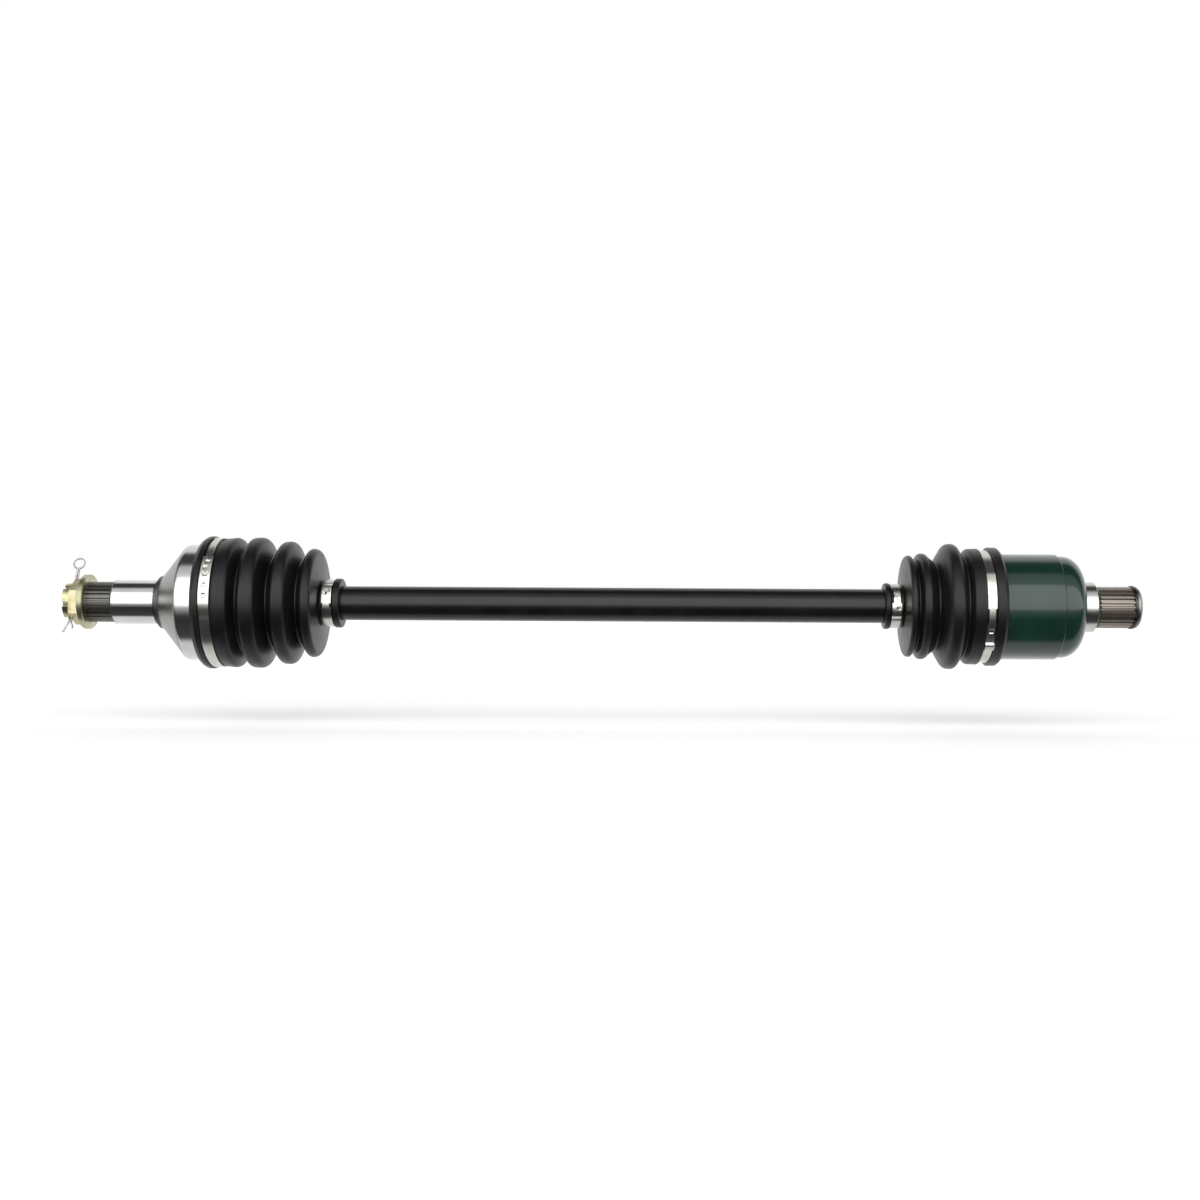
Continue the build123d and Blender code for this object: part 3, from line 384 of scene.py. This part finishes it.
# ---- wheel-end boot ----------------------------------------------------------------------------------
# Moulded black rubber bellows, thick in the cuffs and thin in the folds, pulled over the
# bell's lip at one end and over the bar at the other and held by a band on each cuff.
def rounded(corners, rounds, step=0.0008):
    """Points along a line through the corners, with each corner replaced by the arc that touches
    both runs: it starts radius times the tangent of half the turn before the corner. Runs are then
    divided so that no two points are further apart than a step."""
    corners = np.array(corners, float)
    pieces = [corners[:1]]
    for before, corner, after, radius in zip(corners[:-2], corners[1:-1], corners[2:], rounds):
        first, second = corner - before, after - corner
        long_first, long_second = np.hypot(*first), np.hypot(*second)
        first, second = first / long_first, second / long_second
        bend = math.atan2(first[0] * second[1] - first[1] * second[0], float(first @ second))
        half_run = 0.49
        reach = min(radius * math.tan(abs(bend) / 2), half_run * long_first, half_run * long_second)
        if reach < 1e-6 or abs(bend) < 1e-3:
            pieces.append(corner[None])
            continue
        size = reach / math.tan(abs(bend) / 2)
        side = math.copysign(1.0, bend)
        normal = np.array([-first[1], first[0]]) * side
        centre = corner - first * reach + normal * size
        arc_step = 0.16
        angles = np.linspace(0, bend, max(4, int(abs(bend) / arc_step)))[:, None]
        spoke = -normal * size
        pieces.append(centre + np.cos(angles) * spoke
                      + np.sin(angles) * np.array([-spoke[1], spoke[0]]))
    pieces.append(corners[-1:])
    line = np.vstack(pieces)
    gone = np.concatenate([[0], np.cumsum(np.hypot(*np.diff(line, axis=0).T))])
    same_point = 1e-7
    keep = np.concatenate([[True], np.diff(gone) > same_point])
    line, gone = line[keep], gone[keep]
    places = np.union1d(gone, np.arange(0, gone[-1], step))
    shortest = step * 0.08
    places = places[np.concatenate([[True], np.diff(places) > shortest])]
    return np.column_stack([np.interp(places, gone, line[:, 0]), np.interp(places, gone, line[:, 1])])


def new_piece(name, points, faces, sharp):
    """A smooth-shaded piece of those points and faces, creased where they turn by more than sharp."""
    mesh = bpy.data.meshes.new(name)
    mesh.from_pydata(points.tolist(), [], faces)
    mesh.shade_smooth()
    mesh.set_sharp_from_angle(angle=math.radians(sharp))
    piece = bpy.data.objects.new(name, mesh)
    bpy.context.collection.objects.link(piece)
    return piece


def turned(name, outline, around=144):
    """A ring turned about the axle, closed both ways: a point at angle a has the outline's place
    along the axle, and stands the outline's radius times (cos a, sin a) from the centre line. Its
    faces are turned outwards by the sign of the volume that they enclose."""
    a = np.linspace(0, 2 * math.pi, around, endpoint=False)
    x = np.repeat(outline[:, :1], around, axis=1)
    y = outline[:, 1:] * np.cos(a)
    z = outline[:, 1:] * np.sin(a)
    points = np.stack([x, y, z], axis=-1).reshape(-1, 3)
    index = np.arange(len(points)).reshape(x.shape)
    faces = np.stack([index, np.roll(index, -1, 1), np.roll(np.roll(index, -1, 0), -1, 1),
                      np.roll(index, -1, 0)], axis=-1).reshape(-1, 4)
    corner = points[faces]
    volume = (np.einsum("ij,ij->i", corner[:, 0], np.cross(corner[:, 1], corner[:, 2])).sum()
              + np.einsum("ij,ij->i", corner[:, 0], np.cross(corner[:, 2], corner[:, 3])).sum())
    if volume < 0:
        faces = faces[:, ::-1]
    return new_piece(name, points, faces.tolist(), sharp=40.0)


def boot(name, node, outer, outer_rounds, inner, inner_rounds):
    """A rubber bellows turned from its outer line and then its inner line back again."""
    back = rounded(inner[::-1], inner_rounds[::-1])
    piece = turned(name, np.vstack([rounded(outer, outer_rounds), back[1:-1]]))
    piece.data.materials.append(rubber)
    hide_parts(node)
    return piece


def fold_corners(mouth, radius, folds, thinner=0.0):
    """Each fold's corner as a place along the axle and a radius, from its distance past the
    joint's mouth and its height over the joint, less a wall."""
    return [(mouth + past, radius + over - thinner) for past, over, _ in folds]


def fold_rounds(folds):
    """Each fold's corner radius."""
    return [corner_round for _, _, corner_round in folds]


rubber, shader, tree = new_material("boot_rubber", (0.006, 0.006, 0.0065), 0.0, 0.36)
tree.links.new(ramp(tree, grain(tree, 60.0), ((0.3, (0.003, 0.003, 0.0034)),
                                              (0.7, (0.0065, 0.0065, 0.0075)))),
               shader.inputs["Base Color"])
tree.links.new(spread(tree, grain(tree, 180.0), 0.27, 0.42), shader.inputs["Roughness"])
shader.inputs["Specular IOR Level"].default_value = 0.3
relief(tree, shader, grain(tree, 1100.0), 0.00003)

boot_low, boot_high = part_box("outboard_boot")
band_low, band_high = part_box("outboard_large_clamp")
small_low, small_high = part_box("outboard_small_clamp")
mouth = bell_high[0]
bell_radius = bell_high[2]
bell_seat = bell_radius + 0.0002
bell_groove = bell_radius + 0.0038
lip = boot_high[2]
bore = 0.0116
wheel_cuff = 0.0151
wheel_bead = 0.0167
wall = 0.0024
# Each corner of the folds is (distance past the mouth, height over the bell, corner radius).
folds = ((0.0016, 0.0044, 0.002), (0.0072, 0.0050, 0.0036), (0.0127, -0.0046, 0.0009),
         (0.0163, 0.0048, 0.0042), (0.0250, 0.0052, 0.0046), (0.0315, -0.0090, 0.0009),
         (0.0372, 0.0022, 0.0042), (0.0444, 0.0026, 0.0042), (0.0507, -0.0112, 0.0009),
         (0.0556, -0.0018, 0.0034), (0.0612, -0.0032, 0.0034))
last_fold = fold_corners(mouth, bell_radius, folds[-1:], wall)[0]
outer = [(boot_low[0], bell_seat), (boot_low[0], bell_groove), (boot_low[0] + 0.003, lip),
         (band_low[0] - 0.0006, lip), (band_low[0] - 0.0002, bell_groove),
         (band_high[0] + 0.0002, bell_groove)] + fold_corners(mouth, bell_radius, folds) + [
         (small_low[0] - 0.0013, wheel_cuff), (small_high[0], wheel_cuff),
         (small_high[0] + 0.0008, wheel_bead), (boot_high[0], wheel_bead), (boot_high[0], bore)]
outer_rounds = ([0.0008, 0.0012, 0.0006, 0.0001, 0.0001] + fold_rounds(folds)
                + [0.0008, 0.0003, 0.0005, 0.0012])
inner = [(boot_low[0], bell_seat), (mouth + 0.001, bell_seat)] + fold_corners(
         mouth, bell_radius, folds[2:-1], wall) + [
         (last_fold[0] - wall, last_fold[1]), (small_low[0] - wall, bore), (boot_high[0], bore)]
inner_rounds = [0.0004] + fold_rounds(folds[2:-1]) + [0.001, 0.001]
wheel_end_boot = boot("wheel_end_boot", "outboard_boot", outer, outer_rounds, inner, inner_rounds)
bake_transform(wheel_end_boot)

# ---- gearbox-end boot ---------------------------------------------------------------------------------
# The same rubber in a shorter bellows: two low folds by the bar, one tall one, and a wide
# cuff on the cup. It is built in two rings that meet on the tall fold's rising side.
boot_low, boot_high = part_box("inboard_boot")
band_low, band_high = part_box("inboard_large_clamp")
small_low, small_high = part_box("inboard_small_clamp")
mouth = cup_low[0]
cup_radius = 0.0358
cup_seat = cup_radius + 0.0001
cup_groove = cup_radius + 0.0015
cup_bead = cup_radius + 0.0044
gearbox_cuff = 0.0142
gearbox_bead = 0.0156
# Each corner of the folds is (distance past the mouth, height over the cup, corner radius).
low_folds = ((-0.0408, -0.0018, 0.002), (-0.0374, -0.0010, 0.0024), (-0.0352, -0.0060, 0.0008),
             (-0.0322, 0.0001, 0.0026), (-0.0284, 0.0001, 0.0026))
high_folds = ((-0.0146, 0.0064, 0.0046), (-0.0082, 0.0070, 0.0044), (-0.0034, -0.0010, 0.0009),
              (0.0004, 0.0034, 0.0024))
valley = (-0.0218, -0.0056, 0.0009)
valley_wall = 0.0014
(waist,) = fold_corners(mouth, cup_radius, (valley,))
(waist_inside,) = fold_corners(mouth, cup_radius, (valley,), valley_wall)
first_low = fold_corners(mouth, cup_radius, low_folds[:1], wall)[0]
first_high = fold_corners(mouth, cup_radius, high_folds)[0]
first_high_inside = fold_corners(mouth, cup_radius, high_folds, wall)[0]
meeting_share = 0.56


def between(one, other, share):
    """The point that lies that share of the way from one to the other."""
    return tuple(a + share * (b - a) for a, b in zip(one, other))


meeting = between(waist, first_high, meeting_share)
meeting_inside = between(waist_inside, first_high_inside, meeting_share)
outer = [(boot_low[0], bore), (boot_low[0], gearbox_bead), (small_low[0] - 0.0008, gearbox_bead),
         (small_low[0], gearbox_cuff), (small_high[0] + 0.0012, gearbox_cuff)] + fold_corners(
         mouth, cup_radius, low_folds) + [waist, meeting]
outer_rounds = [0.0012, 0.0005, 0.0003, 0.0008] + fold_rounds(low_folds + (valley,))
inner = [(boot_low[0], bore), (small_high[0] + 0.001, bore),
         (first_low[0] + wall, first_low[1])] + fold_corners(
         mouth, cup_radius, low_folds[1:], wall) + [waist_inside, meeting_inside, meeting]
inner_rounds = [0.001, 0.001] + fold_rounds(low_folds[1:] + (valley,)) + [0.0]
gearbox_end_boot_small = boot("gearbox_end_boot_small", "inboard_boot",
                              outer, outer_rounds, inner, inner_rounds)
outer = [meeting] + fold_corners(mouth, cup_radius, high_folds) + [
         (band_low[0] - 0.0002, cup_radius + 0.0036), (band_low[0] - 0.0001, cup_groove),
         (band_high[0] + 0.0001, cup_groove), (band_high[0] + 0.0003, cup_bead),
         (boot_high[0] - 0.0022, cup_bead), (boot_high[0], cup_radius + 0.0024),
         (boot_high[0], cup_seat)]
outer_rounds = fold_rounds(high_folds) + [0.0006, 0.0001, 0.0001, 0.0006, 0.0014, 0.0008]
inner = [meeting, meeting_inside] + fold_corners(mouth, cup_radius, high_folds[:2], wall) + [
         (mouth - 0.0040, cup_radius - 0.0036), (mouth - 0.0010, cup_seat), (boot_high[0], cup_seat)]
inner_rounds = [0.0] + fold_rounds(high_folds[:2]) + [0.001, 0.0005]
gearbox_end_boot_large = boot("gearbox_end_boot_large", "inboard_boot",
                              outer, outer_rounds, inner, inner_rounds)
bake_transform(gearbox_end_boot_small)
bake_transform(gearbox_end_boot_large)


# ---- bands on the boots ----------------------------------------------------------------------------------
# Thin stainless strip wrapped once and a bit round the cuff. One end has a row of pressed
# windows that hook over the other, and an ear is pinched to draw the band tight.
def wrapped_line(radius, lap_from, lap_to, ear_at, ear_wide, ear_high, count=900):
    """Angles and radii of the strip's middle as it goes once and a bit round, the way that leads
    from lap_from to lap_to. It starts under the lap at lap_from, climbs by its own thickness just
    before it comes round to its start again, and stops at lap_to. The ear adds its height times a
    steep bump about ear_at."""
    gone = np.linspace(0, 2 * math.pi + abs(lap_to - lap_from), count)
    a = lap_from + math.copysign(1.0, lap_to - lap_from) * gone
    climb_width = math.radians(13)
    climb = np.clip((gone - (2 * math.pi - 1.15 * climb_width)) / climb_width, 0, 1)
    climb = climb * climb * (3 - 2 * climb)
    bump_at = ear_at + 2 * math.pi * np.round((a - ear_at) / (2 * math.pi))
    across = (a - bump_at) * radius
    steepness = ear_wide * 0.045
    bump = 1 / (1 + np.exp((np.abs(across) - ear_wide / 2) / steepness))
    return a, gone, radius + climb * band_thick * 1.08 + bump * ear_high


def strip(name, x_middle, angles, radii, half_widths, windows, window_size):
    """A strip carried along its line. A section point stands half a width times its breadth from
    the middle along the axle, and half a thickness times its height out from the line. Each window
    presses the outer side in by a smooth step of its distance from the window's centre."""
    line = np.column_stack([radii * np.cos(angles), radii * np.sin(angles)])
    ahead = np.gradient(line, axis=0)
    ahead /= np.hypot(ahead[:, 0], ahead[:, 1])[:, None]
    out = np.column_stack([ahead[:, 1], -ahead[:, 0]]) * np.sign(angles[-1] - angles[0])
    across_top = np.linspace(-0.94, 0.94, 15)
    section = np.array([(-1, -0.6), (-1, 0.6)] + [(b, 1.0) for b in across_top] + [(1, 0.6), (1, -0.6)]
                       + [(b, -1.0) for b in across_top[::-7]])
    breadth, share_out = section[:, 0], section[:, 1]
    x = x_middle + half_widths[:, None] * breadth[None]
    push = share_out[None] * band_thick / 2 * np.ones_like(x)
    on_top = (share_out > 0.9)[None]
    window_depth, edge_width = band_thick * 0.8, 0.35
    for at, aside in windows:
        across = (angles - at)[:, None] * radii[:, None] / (window_size[1] / 2)
        along_axle = (breadth[None] * half_widths[:, None] - aside) / (window_size[0] / 2)
        distance = (across ** 4 + along_axle ** 4) ** 0.25
        push = push - on_top * window_depth * np.clip(1 + edge_width - distance, 0, edge_width) / edge_width
    points = np.stack([x, line[:, :1] + out[:, :1] * push, line[:, 1:] + out[:, 1:] * push], axis=-1)
    rows, columns = x.shape
    index = np.arange(rows * columns).reshape(rows, columns)
    faces = np.stack([index[:-1], np.roll(index, -1, 1)[:-1], np.roll(index, -1, 1)[1:], index[1:]],
                     axis=-1).reshape(-1, 4)
    ends = [index[0][::-1].tolist(), index[-1].tolist()]
    points = points.reshape(-1, 3)
    piece = new_piece(name, points, faces.tolist() + ends, sharp=42.0)
    corner = points[faces]
    middle = np.repeat(np.column_stack([np.full(rows - 1, x_middle), line[:-1]]), columns, axis=0)
    square = np.cross(corner[:, 1] - corner[:, 0], corner[:, 2] - corner[:, 0])
    if np.einsum("ij,ij->i", square, corner.mean(axis=1) - middle).sum() < 0:
        piece.data.flip_normals()
    piece.data.materials.append(band_steel)
    return piece


band_steel, shader, tree = new_material("stainless_band", (0.62, 0.6, 0.56), 1.0, 0.22)
tree.links.new(ramp(tree, grain(tree, 120.0), ((0.3, (0.5, 0.485, 0.44)), (0.68, (0.66, 0.645, 0.6)))),
               shader.inputs["Base Color"])
tree.links.new(spread(tree, grain(tree, 900.0, (1, 0.15, 0.15)), 0.16, 0.32), shader.inputs["Roughness"])
relief(tree, shader, grain(tree, 3200.0, (1, 0.05, 0.05)), 0.000004)

band_thick = 0.0008
band_clearance = 0.0001


def band(name, node, body, cuff, lap, ear, windows, window_size, tongue):
    """One band round a cuff in the place of its node, with angles in degrees about the axle from +Y
    up to +Z. lap is where the strip starts under itself and where it ends on top, ear is (angle,
    width, height), and tongue is how far round the start is narrowed and by what share. A window is
    (angle, distance aside), and its angle is counted from the strip's start without a jump at a full
    turn, which tells the lap's two layers apart."""
    low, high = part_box(node)
    lap_from, lap_to = (math.radians(angle) for angle in lap)
    ear_at, ear_wide, ear_high = ear
    angles, gone, radii = wrapped_line(cuff + band_clearance + band_thick / 2, lap_from, lap_to,
                                       math.radians(ear_at), ear_wide, ear_high)
    half = (high[0] - low[0]) / 2
    tongue_end, tongue_cut = tongue
    tongue_shoulder = 0.06
    slim = np.clip((math.radians(tongue_end) - gone) / tongue_shoulder, 0, 1)
    piece = strip(name, (low[0] + high[0]) / 2, angles, radii, half * (1 - tongue_cut * slim),
                  [(math.radians(at), aside) for at, aside in windows], window_size)
    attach(piece, body)
    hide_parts(node)


large_window = (0.002, 0.0022)
dimple = (0.0026, 0.0026)
small_window = (0.0017, 0.0018)
large_ear = (30, 0.006, 0.0018)
crimped_ear = (223, 0.0052, 0.0019)
small_ear_width, small_ear_height = 0.004, 0.0014
band("wheel_end_band", "outboard_large_clamp", "outboard_housing", bell_groove, (178, 137), large_ear,
     [(-217, 0.0006), (-211, -0.0004), (-205, 0.0), (-195, 0.0), (-186, 0.0)], large_window, (78, 0.36))
band("gearbox_end_band", "inboard_large_clamp", "inboard_housing", cup_groove, (150, 182), crimped_ear,
     [(205, 0.0)], dimple, (48, 0.3))
band("wheel_end_small_band", "outboard_small_clamp", "shaft", wheel_cuff, (140, 180),
     (30, small_ear_width, small_ear_height), [(509, 0.001), (516, -0.001)], small_window, (53, 0.3))
band("gearbox_end_small_band", "inboard_small_clamp", "shaft", gearbox_cuff, (200, 172),
     (60, small_ear_width, small_ear_height), [(-175, 0.001), (152, -0.001)], small_window, (75, 0.3))
